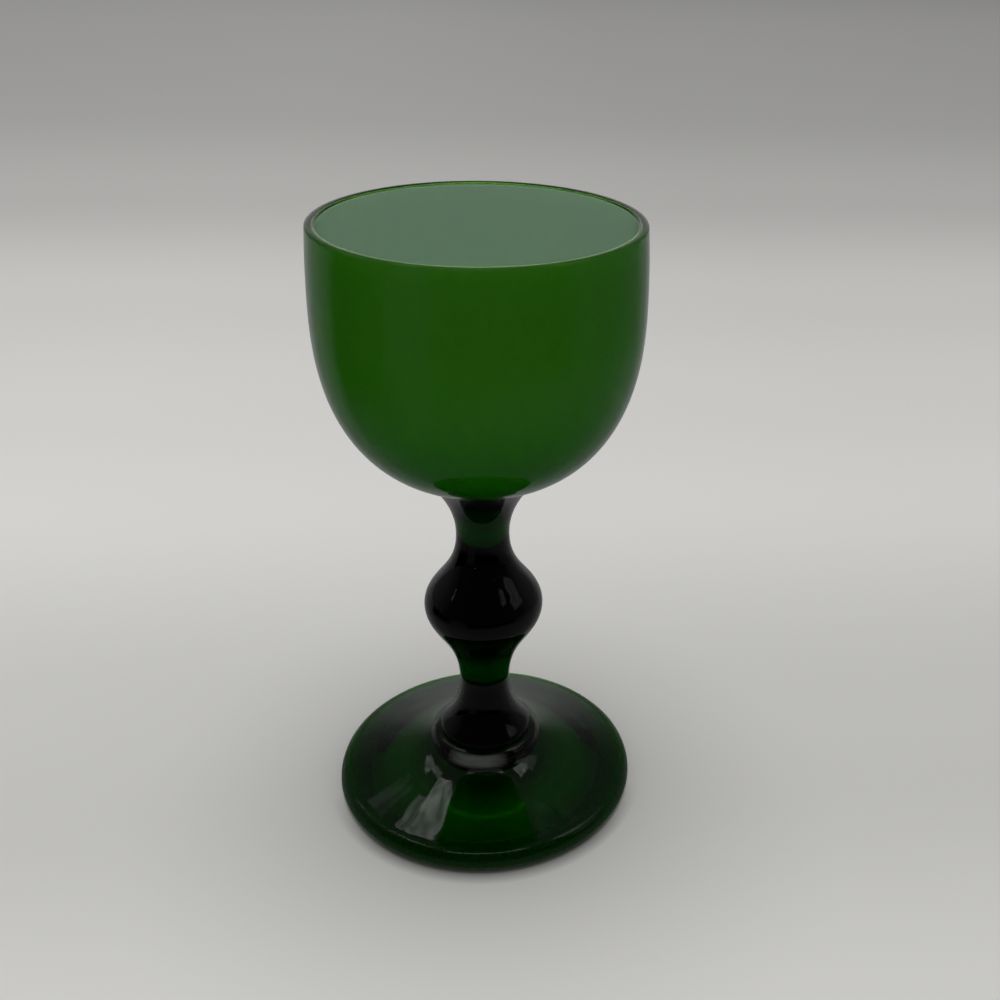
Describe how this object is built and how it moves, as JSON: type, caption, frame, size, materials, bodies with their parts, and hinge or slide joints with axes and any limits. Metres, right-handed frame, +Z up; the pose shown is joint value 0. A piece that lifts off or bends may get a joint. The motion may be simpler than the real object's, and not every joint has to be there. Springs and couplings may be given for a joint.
{
  "type": "cordial glass",
  "caption": "Small stemmed glass with an opal-lined green bowl, a round knop on a turned stem and a spread foot.",
  "frame": {"origin": "middle of the foot's underside, in the plane on which the glass stands", "axes": "+Z up along the stem and the bowl's axis; the glass is round about Z, so +X and +Y are free, and the picture looks roughly along +Y"},
  "size_m": [0.0518, 0.0518, 0.102],
  "materials": {
    "opal_glass": "fire-polished opal white, slightly translucent",
    "green_casing_glass": "fire-polished clear green over opal",
    "dark_green_glass": "fire-polished solid green, nearly black where it is thick"
  },
  "bodies": {
    "root": {"bowl_lining": "opal_glass", "bowl_casing": "green_casing_glass", "stem": "dark_green_glass", "foot": "dark_green_glass"}
  },
  "joints": []
}
